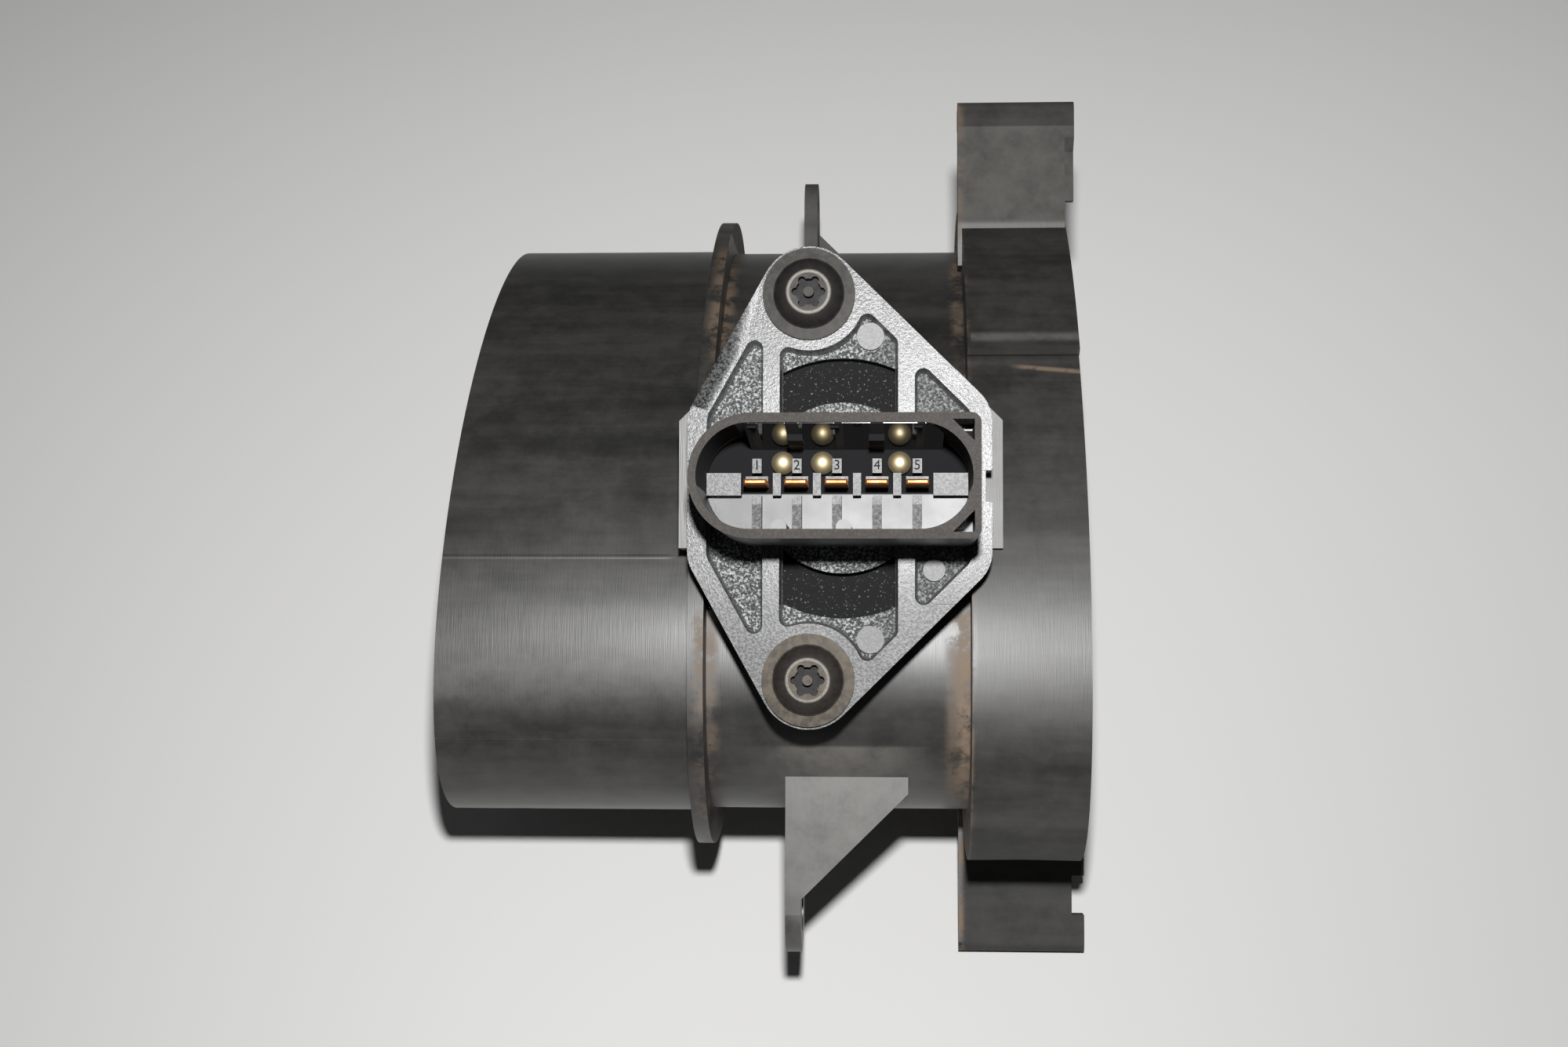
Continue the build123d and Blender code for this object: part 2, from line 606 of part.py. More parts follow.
def probe():
    """Blade in the air stream: a tray with two bays, open on one side."""
    half = PROBE_LENGTH_X / 2
    side = PROBE_THICKNESS / 2
    tray = block(-half, half, -side, side, PROBE_BOTTOM, FLANGE_UNDER - PROBE_STEM)
    tray = fillet(tray.edges().filter_by(Axis.Z), PROBE_CORNER)
    inner = half - PROBE_SHELL
    seat = half - LID_SEAT
    ledge = side - LID_THICKNESS
    over = side + LID_THICKNESS
    bay = block(-inner, inner, bay_floor(), over, BAY_SPLIT + SPLIT_WALL, BAY_TOP)
    channel = block(-inner, inner, bay_floor(), over, PROBE_BOTTOM + PROBE_SHELL, BAY_SPLIT)
    bay_lid = block(-seat, seat, ledge, over, BAY_SPLIT + LID_GAP, BAY_TOP + LID_SEAT)
    channel_lid = block(-seat, seat, ledge, over, PROBE_BOTTOM + LID_SEAT, BAY_SPLIT - LID_GAP)
    low = PROBE_BOTTOM + PROBE_SHELL + CHANNEL_FOOT
    back, front = bay_floor() + CHANNEL_FOOT, ledge - CHANNEL_FOOT
    inlet = block(half - MOUTH_DEPTH, half + CUT_SPARE, back, front, low, low + CHANNEL_HEIGHT)
    outlet = block(-half - CUT_SPARE, MOUTH_DEPTH - half, back, front,
                   low + OUTLET_RISE, low + OUTLET_RISE + CHANNEL_HEIGHT)
    tray -= bay + channel + bay_lid + channel_lid + inlet + outlet
    return tray - chip_holder(FIT)


def sensor_body():
    """One moulding: flange, connector, plug and probe."""
    solid = flange() + shroud() + plug() + probe()
    for number in range(PIN_COUNT):
        solid -= contact_blank(number)
    for blank in test_pin_blanks():
        solid -= blank
    return LEAN * solid


def o_ring():
    bore = PLUG_RADIUS + PLUG_CLEARANCE
    minor = (bore - PLUG_RADIUS + GROOVE_DEPTH) / 2
    ring = Torus(bore - minor, minor)
    return LEAN * Pos(0, 0, groove_top() - GROOVE_WIDTH / 2) * ring


# --------------------------------------------------------------- contacts

def contact_blank(number):
    """Blade, a step sideways inside the plug, and a narrow tail to the board."""
    x = pin_x(number)
    from_middle = number - (PIN_COUNT - 1) / 2
    tail_x = SHROUD_X + from_middle * TAIL_PITCH
    half = BLADE_THICKNESS / 2
    tip = FLANGE_TOP + BLADE_TIP
    step_top = FLANGE_UNDER + STEP_RISE - STEP_SPACING * TAIL_WIDTH * abs(from_middle)
    step_low = step_top - TAIL_WIDTH
    blade = block(x - BLADE_WIDTH / 2, x + BLADE_WIDTH / 2, -half, half, step_low, tip)
    blade = chamfer(blade.edges().group_by(Axis.Z)[-1], BLADE_BEVEL)
    left = min(x, tail_x) - TAIL_WIDTH / 2
    right = max(x, tail_x) + TAIL_WIDTH / 2
    step = block(left, right, -half, half, step_low, step_top)
    tail = block(tail_x - TAIL_WIDTH / 2, tail_x + TAIL_WIDTH / 2, -half, half,
                 BAY_TOP - TAIL_INTO_BAY, step_top)
    return blade + step + tail


def test_pin_blanks():
    """Three round calibration pins with domed tops."""
    low = FLANGE_TOP + BAR_TOP - TEST_PIN_DEPTH - TEST_PIN_RADIUS
    body_top = FLANGE_TOP + BAR_TOP - TEST_PIN_RADIUS
    pins = []
    for place in TEST_PIN_PLACES:
        rod = raised(Circle(TEST_PIN_RADIUS), low, body_top)
        dome = Pos(0, 0, body_top) * Sphere(TEST_PIN_RADIUS)
        pins.append(Pos(SHROUD_X + place, TEST_PIN_Y, 0) * (rod + dome))
    return pins


# ---------------------------------------------------------------- screws

def screw():
    """Tamper-proof screw: rimmed head, six-lobe socket, pin left in the middle."""
    foot = (DOME_FOOT * HEAD_RADIUS, HEAD_RIM + HEAD_CREST)
    with BuildSketch(Plane.XZ) as profile:
        with BuildLine():
            Polyline((0, -SCREW_LENGTH), (SCREW_RADIUS - SCREW_TIP_BEVEL, -SCREW_LENGTH),
                     (SCREW_RADIUS, SCREW_TIP_LENGTH - SCREW_LENGTH), (SCREW_RADIUS, 0),
                     (HEAD_RADIUS, 0), (HEAD_RADIUS, HEAD_RIM), foot)
            ThreePointArc(foot, (DOME_MIDDLE * HEAD_RADIUS, DOME_MIDDLE_RISE * HEAD_HEIGHT),
                          (HEAD_TOP_RADIUS, HEAD_HEIGHT))
            Polyline((HEAD_TOP_RADIUS, HEAD_HEIGHT), (0, HEAD_HEIGHT), (0, -SCREW_LENGTH))
        make_face()
    solid = revolve(profile.sketch, Axis.Z)
    lobes = Sketch() + (PolarLocations(SOCKET_RADIUS, 6) * Circle(LOBE_RADIUS))
    star = Circle(SOCKET_RADIUS) + lobes - Circle(SOCKET_PIN_RADIUS)
    return solid - raised(star, HEAD_HEIGHT - SOCKET_DEPTH, HEAD_HEIGHT)


def threaded_insert():
    outer = SCREW_RADIUS + INSERT_WALL
    sleeve = raised(Circle(outer) - Circle(SCREW_RADIUS), -INSERT_LENGTH, 0)
    groove = raised(Circle(outer) - Circle(outer - INSERT_GROOVE),
                    -GROOVE_ENDS * INSERT_LENGTH, -GROOVE_STARTS * INSERT_LENGTH)
    return sleeve - groove


def at_screws(solid, level):
    """Both copies of a piece that sits at the two screw places."""
    return [LEAN * Pos(EYE_X, y, level) * solid for y in (EYE_Y, -EYE_Y)]


# ------------------------------------------------------------ electronics

def bay_floor():
    return PROBE_SHELL - PROBE_THICKNESS / 2


def carrier_plate():
    """Metal plate on the bay's floor."""
    half = PROBE_LENGTH_X / 2 - PROBE_SHELL - FIT
    return block(-half, half, bay_floor(), bay_floor() + PLATE_THICKNESS,
                 BAY_SPLIT + SPLIT_WALL + FIT, BAY_TOP - FIT)


def circuit_board():
    """Ceramic board on the carrier plate."""
    half = PROBE_LENGTH_X / 2 - PROBE_SHELL - BOARD_MARGIN
    low = bay_floor() + PLATE_THICKNESS
    return block(-half, half, low, board_face(), BAY_SPLIT + BOARD_FROM, BAY_TOP - BOARD_GAP)


def board_face():
    return bay_floor() + PLATE_THICKNESS + BOARD_THICKNESS


def measuring_ic():
    low = BAY_SPLIT + IC_FROM
    return block(-IC_LENGTH / 2, IC_LENGTH / 2, board_face(), board_face() + IC_HEIGHT,
                 low, low + IC_WIDTH)


def board_capacitors():
    """A column of chip capacitors on each side of the measuring chip."""
    low = BAY_SPLIT + IC_FROM
    one = block(-CAPACITOR_LENGTH / 2, CAPACITOR_LENGTH / 2, board_face(),
                board_face() + CAPACITOR_WIDTH, low, low + CAPACITOR_WIDTH)
    return [Pos(side * CAPACITOR_X, 0, row * CAPACITOR_PITCH) * one
            for side in (-1, 1) for row in range(3)]


def chip_holder(clear=0.0):
    """Tongue from the board's bay through the dividing wall into the channel."""
    low = bay_floor() + PLATE_THICKNESS
    half = CHIP_HOLDER_WIDTH / 2 + clear
    return block(-half, half, low - clear, low + CHIP_HOLDER_THICKNESS + clear,
                 PROBE_BOTTOM + CHIP_HOLDER_FROM - clear, BAY_SPLIT + CHIP_HOLDER_BITE + clear)


def sensor_chip():
    low = bay_floor() + PLATE_THICKNESS + CHIP_HOLDER_THICKNESS
    foot = PROBE_BOTTOM + CHIP_HOLDER_FROM + CHIP_MARGIN
    return block(-CHIP_WIDTH / 2, CHIP_WIDTH / 2, low, low + CHIP_THICKNESS,
                 foot, foot + CHIP_LENGTH)


def probe_lid(z0, z1):
    """Flat lid, let into the probe's open side."""
    half = PROBE_LENGTH_X / 2 - LID_SEAT - FIT
    side = PROBE_THICKNESS / 2
    return block(-half, half, side - LID_THICKNESS, side, z0 + FIT, z1 - FIT)


def electronics_cover():
    return probe_lid(BAY_SPLIT + LID_GAP, BAY_TOP + LID_SEAT)


def channel_cover():
    return probe_lid(PROBE_BOTTOM + LID_SEAT, BAY_SPLIT - LID_GAP)


# ------------------------------------------------------------------ export

def all_nodes():
    nodes = {
        "housing": [housing()],
        "flow_grid": [flow_grid()],
        "wire_screen": [wire_screen()],
        "grid_retainer": [grid_retainer()],
        "inlet_seal": [inlet_seal()],
        "sensor_body": [sensor_body()],
        "o_ring": [o_ring()],
        "sensor_screws": at_screws(screw(), FLANGE_TOP),
        "screw_inserts": at_screws(threaded_insert(), FLANGE_UNDER),
        "carrier_plate": [LEAN * carrier_plate()],
        "circuit_board": [LEAN * circuit_board()],
        "measuring_ic": [LEAN * measuring_ic()],
        "board_capacitors": [LEAN * part for part in board_capacitors()],
        "chip_holder": [LEAN * chip_holder()],
        "sensor_chip": [LEAN * sensor_chip()],
        "electronics_cover": [LEAN * electronics_cover()],
        "channel_cover": [LEAN * channel_cover()],
    }
    for number in range(PIN_COUNT):
        nodes[f"contact_{number + 1}"] = [LEAN * contact_blank(number)]
    for number, blank in enumerate(test_pin_blanks()):
        nodes[f"calibration_pin_{number + 1}"] = [LEAN * blank]
    return nodes


def stand_on_table(nodes):
    """Move every piece so that the part's box stands centred on the origin."""
    boxes = [solid.bounding_box() for group in nodes.values() for solid in group]
    low, high = boxes[0].min, boxes[0].max
    for box in boxes:
        low = Vector(min(low.X, box.min.X), min(low.Y, box.min.Y), min(low.Z, box.min.Z))
        high = Vector(max(high.X, box.max.X), max(high.Y, box.max.Y), max(high.Z, box.max.Z))
    axis_at = Vector(-(low.X + high.X) / 2, -(low.Y + high.Y) / 2, -low.Z)
    print("duct axis at", axis_at)
    seat = Pos(*axis_at)
    return {name: [seat * solid for solid in group] for name, group in nodes.items()}


os.makedirs("parts", exist_ok=True)
for name, group in stand_on_table(all_nodes()).items():
    shape = group[0] if len(group) == 1 else Compound(children=group)
    export_step(shape, f"parts/{name}.step")
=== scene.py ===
# %% [markdown]
# The mass airflow sensor is measured in CAD, and that model is the fixed frame of this scene.
# Nothing here moves or resizes it. This lesson adds the camera, the light, the table, the
# finish of every surface, and a few small pieces that are easier to model in Blender.

# %% Load the measured frame
from math import cos, radians, sin

import bpy
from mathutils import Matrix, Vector


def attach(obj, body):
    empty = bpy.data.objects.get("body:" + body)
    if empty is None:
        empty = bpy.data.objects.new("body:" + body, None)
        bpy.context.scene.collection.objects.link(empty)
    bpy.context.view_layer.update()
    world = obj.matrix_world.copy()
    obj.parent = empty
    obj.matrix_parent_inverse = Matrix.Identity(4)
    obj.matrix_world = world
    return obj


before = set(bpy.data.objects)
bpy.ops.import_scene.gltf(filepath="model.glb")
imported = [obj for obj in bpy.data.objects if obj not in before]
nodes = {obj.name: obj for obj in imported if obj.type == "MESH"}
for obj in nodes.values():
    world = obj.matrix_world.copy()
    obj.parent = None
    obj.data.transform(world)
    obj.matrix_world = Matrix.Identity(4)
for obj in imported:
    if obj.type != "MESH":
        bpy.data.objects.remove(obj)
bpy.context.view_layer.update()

MM = 0.001

# %% [markdown]
# The duct's axis is the natural place to measure from. The sensor leans back from the vertical,
# so points on it are given in a leaning frame: x along the duct, y across, z out along the sensor.
# An empty object as a parent could turn them, but every finished piece has to stay unturned, so
# one small function turns such a point into the scene's own metres instead.

# %% The duct's axis and the leaning frame
AXIS = Vector((10.122, 2.335, 33.887)) * MM
LEAN = radians(31.9)
FLANGE_TOP = 49.0


def leaning(x, y, z):
    """Place in the scene of a point of the sensor's own frame, given in millimetres."""
    return AXIS + MM * Vector((x, y * cos(LEAN) - z * sin(LEAN), y * sin(LEAN) + z * cos(LEAN)))


print("flange over the axis at", tuple(round(v, 4) for v in leaning(0, 0, FLANGE_TOP)))

# %% [markdown]
# The camera looks down on the connector. A lens a little longer than the film's diagonal keeps
# the oval duct from bulging. The camera is turned about its own upright axis first and tipped
# second, which is what the Euler order YXZ does. A Track To constraint would aim it as well, but
# it would not keep the small turn between the duct and the edge of the frame.

# %% Camera
ELEVATION = 54.5
YAW = 2.99
CAMERA_FROM_AXIS = Vector((6.6, -184.8, 256.3))
LENS = 48.6
FILM_WIDTH = 36.0
NEAREST_SEEN = 0.01

camera = bpy.data.objects.new("camera", bpy.data.cameras.new("camera"))
bpy.context.scene.collection.objects.link(camera)
camera.data.lens = LENS
camera.data.sensor_width = FILM_WIDTH
camera.data.clip_start = NEAREST_SEEN
camera.location = AXIS + MM * CAMERA_FROM_AXIS
camera.rotation_mode = "YXZ"
camera.rotation_euler = (radians(90 - ELEVATION), radians(YAW), 0.0)
bpy.context.scene.camera = camera
print("camera at", tuple(round(v, 3) for v in camera.location))

# %% [markdown]
# Shader maths reads best as ordinary expressions. The class below wraps a socket, so that
# adding or multiplying two wrapped sockets writes the Math node for us. The reflected forms,
# such as __rsub__, let a plain number stand on the left, as in 1 - mask.

# %% A socket that does arithmetic


class Wire:
    """A shader socket with arithmetic."""

    def __init__(self, finish, socket):
        self.finish = finish
        self.socket = socket

    def math(self, operation, *others):
        return self.finish.math(operation, self, *others)

    def __add__(self, other):
        return self.math("ADD", other)

    def __sub__(self, other):
        return self.math("SUBTRACT", other)

    def __mul__(self, other):
        return self.math("MULTIPLY", other)

    def __rsub__(self, other):
        return self.finish.math("SUBTRACT", other, self)

    __radd__ = __add__
    __rmul__ = __mul__

    def smooth(self, low, high):
        """0 below low, 1 above high, and a soft step between."""
        settings = {"interpolation_type": "SMOOTHSTEP"}
        return self.finish.node("ShaderNodeMapRange", settings, {0: self, 1: low, 2: high})


print("a wire can:", [name for name in vars(Wire) if callable(getattr(Wire, name))])

# %% [markdown]
# A finish is one material with one Principled shader. Its method node makes any node: it sets the
# node's settings first, because they can change which sockets exist, and then fills its sockets.
# Every pattern starts from Object coordinates, which stay with the piece. Colours go through Mix,
# because a Math node would turn them grey.

# %% A material built from expressions
MIX_FACTOR, MIX_FIRST, MIX_SECOND, MIX_RESULT = 0, 6, 7, 2


class Finish:
    """A new material with one principled shader."""

    def __init__(self, name):
        self.data = bpy.data.materials.new(name)
        self.data.use_nodes = True
        self.tree = self.data.node_tree
        self.shader = self.tree.nodes["Principled BSDF"]

    def put(self, socket, value):
        """Links a wire to the socket, or sets the socket to a plain value."""
        if isinstance(value, Wire):
            self.tree.links.new(value.socket, socket)
        else:
            socket.default_value = value

    def node(self, kind, settings, sockets, out=0):
        """Any node: its settings come first, then its sockets by number or by name."""
        made = self.tree.nodes.new(kind)
        for key, value in settings.items():
            setattr(made, key, value)
        for key, value in sockets.items():
            self.put(made.inputs[key], value)
        return Wire(self, made.outputs[out])

    def math(self, operation, *values):
        return self.node("ShaderNodeMath", {"operation": operation}, dict(enumerate(values)))

    def place(self):
        return self.node("ShaderNodeTexCoord", {}, {}, out="Object")

    def split(self):
        """Object coordinates along X, Y and Z."""
        first = self.node("ShaderNodeSeparateXYZ", {}, {0: self.place()})
        return [Wire(self, socket) for socket in first.socket.node.outputs]

    def leaning(self):
        """The same point in the sensor's leaning frame, in millimetres."""
        x, y, z = [(value - start) * (1 / MM) for value, start in zip(self.split(), AXIS)]
        return x, y * cos(LEAN) + z * sin(LEAN), z * cos(LEAN) - y * sin(LEAN)

    def stretched(self, x, y, z):
        """Object coordinates scaled along each axis."""
        return self.node("ShaderNodeMapping", {}, {"Vector": self.place(), "Scale": (x, y, z)})

    def noise(self, pattern, at=None):
        """Noise of a pattern, which is its scale, detail and roughness."""
        scale, detail, roughness = pattern
        sockets = {"Vector": at or self.place(), "Scale": scale, "Detail": detail,
                   "Roughness": roughness}
        return self.node("ShaderNodeTexNoise", {}, sockets)

    def blend(self, mask, first, second):
        """The first colour where the mask is 0, the second where it is 1."""
        sockets = {MIX_FACTOR: mask, MIX_FIRST: first, MIX_SECOND: second}
        return self.node("ShaderNodeMix", {"data_type": "RGBA"}, sockets, out=MIX_RESULT)

    def bump(self, height, depth_mm):
        sockets = {"Strength": 1.0, "Distance": depth_mm * MM, "Height": height}
        return self.node("ShaderNodeBump", {}, sockets)

    def surface(self, **values):
        """Fills the shader's own sockets, named with underscores, and gives the material."""
        for key, value in values.items():
            self.put(self.shader.inputs[key.replace("_", " ")], value)
        return self.data


def report(material):
    print(material.name, "has", len(material.node_tree.nodes), "nodes")


print("a finish can:", [name for name in vars(Finish) if not name.startswith("_")])

# %% [markdown]
# Most finishes change at a place: above a level, past a line, near a corner. These could be
# painted by hand on an unwrapped mesh. Masks worked out from the measured places need no
# unwrapping and stay sharp at any distance. A mask is 1 where its finish shows and 0 elsewhere.

# %% Masks, colours and paint
FULL_SHARE = 0.15


def past(value, line, soft):
    """0 up to the line, then rising to 1 over the soft width."""
    return value.smooth(line, line + soft)


def short_of(value, line, soft):
    """1 up to the line, then falling to 0 over the soft width."""
    return 1 - past(value, line, soft)


def close_to(value, target, reach):
    """1 at the target and for a small share of the reach round it, then fading to 0."""
    return 1 - (value - target).math("ABSOLUTE").smooth(FULL_SHARE * reach, reach)


def layered(start, *layers):
    """A starting value, to which each mask adds its share."""
    for mask, share in layers:
        start = mask * share + start
    return start


def rgba(red, green, blue):
    return (red, green, blue, 1.0)


def paint(material, *names):
    """Gives the material to CAD nodes, by name."""
    for name in names:
        slots = nodes[name].data.materials
        slots.clear()
        slots.append(material)


print("nodes to paint:", sorted(nodes))

# %% [markdown]
# The duct is a black moulding that has been under a bonnet for years: satin rather than matt,
# with faint streaks along its length and fine turned rings round it. Brown dust lies in the
# corners beside the hose stop and the collar, and has drifted against the collar on the near side.
# A grey film lies on the far hook. The web of the near ear is painted paler, partly dust and partly
# a painted highlight, and a painted highlight lies along the near side of the tube and on the
# collar's step edge.
# Two fine seams run along the tube where the tool parted, and a dusty scratch crosses the collar.
# Each of these is one mask, made from the distance to its place and broken up by noise. Places are
# millimetres in the leaning frame. A noise pattern is three numbers: its scale, its detail and its
# roughness. A step through a noise is two: the value from which it counts, and how softly it does.

# %% Places and colours of the duct
TUBE_DARK = rgba(0.011, 0.011, 0.010)
TUBE_PALE = rgba(0.036, 0.034, 0.031)
FILM_AND_SHEEN = rgba(0.110, 0.103, 0.092)
DUST = rgba(0.150, 0.105, 0.070)
STOP_CORNER_X = -18.1
COLLAR_CORNER_X = 16.5
DRIFT_FROM_X = 12.8
DRIFT_TO = -16.0
FAR_HOOK_FROM = 42.0
FAR_LIP_FROM = 56.6
NEAR_HOOK_TO = -44.0
GUSSET_TO = -33.5
GUSSET_LEVEL = 28.5
GUSSET_REACH = 14.0
SHELF_ACROSS = -24.5
SHELF_REACH = 7.0
STEP_EDGE = 22.2
SCRATCH_FROM_X = 22.8
SCRATCH_ACROSS = 18.0
SCRATCH_SLOPE = 0.093
SEAMS_ACROSS = (-8.3, -32.7)
SEAMS_TO_X = -24.0
SEAM_REACH = 0.35
STOP_DUST_REACH = 2.2
COLLAR_DUST_X, COLLAR_DUST_REACH = COLLAR_CORNER_X - 0.8, 1.6
SCRATCH_REACH = 0.5
STEP_REACH = 1.0
print("dust corners at x", STOP_CORNER_X, "and", COLLAR_CORNER_X, "seams at", SEAMS_ACROSS)

# %% Patterns of the duct
STREAKS = (190.0, 5.0, 0.62)
ALONG_TUBE = (0.10, 1.0, 1.0)
RINGS = (8000.0, 1.0, 0.5)
ROUND_TUBE = (1.0, 0.03, 0.03)
CLOUDS = (60.0, 5.0, 0.62)
PATCHES = (260.0, 5.0, 0.68)
CORNER_PATCHES = (0.40, 0.20)
CORNER_CLOUDS = (0.30, 0.30)
DRIFT_PATCHES = (0.35, 0.20)
SCRATCH_PATCHES = (0.40, 0.12)
FILM_CLOUDS = (0.42, 0.38)
FILM_AND_SHEEN_PATCHES = (0.0, 0.7)
WEAR_STEP = (0.34, 0.34)
DUCT_ROUGH = 0.38
DUCT_SHINE = 0.62
DUCT_RELIEF = 0.02
print("finest pattern on the duct is about", round(1 / (RINGS[0] * MM), 2), "mm")

# %% Finish of the duct


def duct_dust(x, across, patchy, clouds):
    """Brown dust in the corners, drifted on the near side, and the scratch on the collar."""
    corners = (close_to(x, STOP_CORNER_X, STOP_DUST_REACH) +
               close_to(x, COLLAR_DUST_X, COLLAR_DUST_REACH))
    corners = corners * past(patchy, *CORNER_PATCHES) * past(clouds, *CORNER_CLOUDS)
    drift = (past(x, DRIFT_FROM_X, 1.4) * short_of(x, COLLAR_CORNER_X - 0.1, 0.4) *
             short_of(across, DRIFT_TO, 4.0) * past(patchy, *DRIFT_PATCHES))
    line = SCRATCH_ACROSS - (x - SCRATCH_FROM_X) * SCRATCH_SLOPE
    scratch = (close_to(across - line, 0.0, SCRATCH_REACH) * past(x, SCRATCH_FROM_X - 1, 3.0) *
               past(patchy, *SCRATCH_PATCHES))
    return layered(0.0, (corners, 0.75), (drift, 0.45), (scratch, 0.8))


def duct_film(x, across, out, clouds):
    """Grey film as a thin cloud everywhere, painted highlights on the shelf and the step's edge,
    and on the web dust with a painted highlight.
    """
    cloud = past(clouds, *FILM_CLOUDS)
    # On the web the paler grey is partly dust and partly a painted highlight.
    gusset = (close_to(x, 0.0, GUSSET_REACH) * short_of(across, GUSSET_TO, 0.5) *
              past(out, GUSSET_LEVEL, 1.0))
    # Painted highlight: a pale band along the near side of the tube.
    shelf_sheen = close_to(across, SHELF_ACROSS, SHELF_REACH) * short_of(x, STOP_CORNER_X + 0.1, 2.0)
    # Painted highlight: a pale line along the top edge of the collar's step.
    edge_sheen = past(x, COLLAR_CORNER_X + 0.3, 0.4) * close_to(across, STEP_EDGE, STEP_REACH)
    return layered(0.0, (cloud, 0.15), (gusset, 0.75), (shelf_sheen, 0.35), (edge_sheen, 0.7))


def duct_finish():
    finish = Finish("duct_plastic")
    x, across, out = finish.leaning()
    streaks = finish.noise(STREAKS, finish.stretched(*ALONG_TUBE))
    rings = finish.noise(RINGS, finish.stretched(*ROUND_TUBE))
    clouds = finish.noise(CLOUDS)
    patchy = finish.noise(PATCHES)
    seams = sum([close_to(across, place, SEAM_REACH) for place in SEAMS_ACROSS], 0.0)
    far_hook = past(across, FAR_HOOK_FROM, 1.0)
    far_lip = past(across, FAR_LIP_FROM, 0.3)
    near_hook = past(x, COLLAR_CORNER_X - 0.5, 1.0) * short_of(across, NEAR_HOOK_TO, 1.0)
    collar = past(x, COLLAR_CORNER_X, 1.0)
    dust = duct_dust(x, across, patchy, clouds)
    film_and_sheen = duct_film(x, across, out, clouds) + far_hook * 0.38
    wear = past(streaks * 0.6 + patchy * 0.4, *WEAR_STEP)
    plastic = finish.blend(wear, TUBE_DARK, TUBE_PALE)
    # The pale colour holds grey film and dust, and painted highlights on the shelf, the step's edge
    # and partly the web.
    filmed_and_sheened = finish.blend(film_and_sheen * past(patchy, *FILM_AND_SHEEN_PATCHES) * (1 - far_lip * 0.9), plastic, FILM_AND_SHEEN)
    rough = layered(DUCT_ROUGH, (streaks, 0.08), (film_and_sheen, 0.15), (dust, 0.35),
                    (far_lip, 0.6), (far_hook, 0.30), (near_hook, 0.35), (collar, 0.05))
    height = layered(0.0, (streaks, 0.35), (patchy, 0.3), (rings, 0.6),
                     (seams * short_of(x, SEAMS_TO_X, 2.0), 1.5))
    return finish.surface(Base_Color=finish.blend(dust, filmed_and_sheened, DUST), Roughness=rough,
                          Normal=finish.bump(height, DUCT_RELIEF), Specular_IOR_Level=DUCT_SHINE)


duct_plastic = duct_finish()
paint(duct_plastic, "housing")
report(duct_plastic)

# %% [markdown]
# The sensor's body is moulded in a spark-eroded tool, so its faces are covered in tiny craters that
# glitter. Fine noise in the bump gives that, and the glints on the pocket floors and on the sunk
# disc are also painted in as pale specks, fewer in the pockets to the right, as a painted shade.
# The finish changes with the height above the duct: the ribs and the rim are satin, the pockets
# between them glitter, and the sunk disc is coarse and dull. The connector's walls are polished,
# because the plug has to slide into them, and its floor is dull black; its upper ribs carry a faint
# painted sheen. The lower half of the flange is a little duller from grime. The body is one mesh,
# so levels pick out these faces more simply than a material for each would.

# %% Levels and colours of the sensor body
RIM_DARK = rgba(0.012, 0.013, 0.013)
RIM_PALE = rgba(0.120, 0.122, 0.120)
GLINT_PAINT = rgba(0.330, 0.345, 0.340)
MARK_AND_SHEEN_PALE = rgba(0.300, 0.305, 0.300)
DISC_BLACK = rgba(0.008, 0.008, 0.008)
MOUTH_BROWN = rgba(0.030, 0.025, 0.021)
CAVITY_BLACK = rgba(0.006, 0.006, 0.007)
DISC_LEVEL = 45.4
POCKET_LEVEL = 46.9
MARK_LEVEL = 47.5
CAVITY_LEVEL = 49.3
BAR_LEVEL = 51.8
BAR_TOP = 52.8
MOUTH_LEVEL = 65.1
CAVITY_MIDDLE_X = -0.57
CAVITY_HALF_LENGTH = 16.7
CAVITY_HALF_WIDTH = 6.45
FAR_WALL_FROM = 6.05
FLOOR_FROM = -1.2
LOWER_RIBS_TO = -2.6
SHADED_FROM_X = 2.0
GRIME_TO = -24.0
STEP = 0.1
CRATERS = (2900.0, 3.0, 0.72)
FINE_CRATERS = (7000.0, 1.0, 0.5)
STAINS = (150.0, 4.0, 0.6)
SATIN_CRATERS = (0.38, 0.28)
POCKET_GLINTS = (0.50, 0.10)
DISC_GLINTS = (0.63, 0.04)
SENSOR_ROUGH = 0.25
SENSOR_SHINE = 0.38
CRATER_DEPTH = 0.10
print("from pocket floor to connector mouth:", round(MOUTH_LEVEL - POCKET_LEVEL, 1), "mm")

# %% Finish of the sensor body


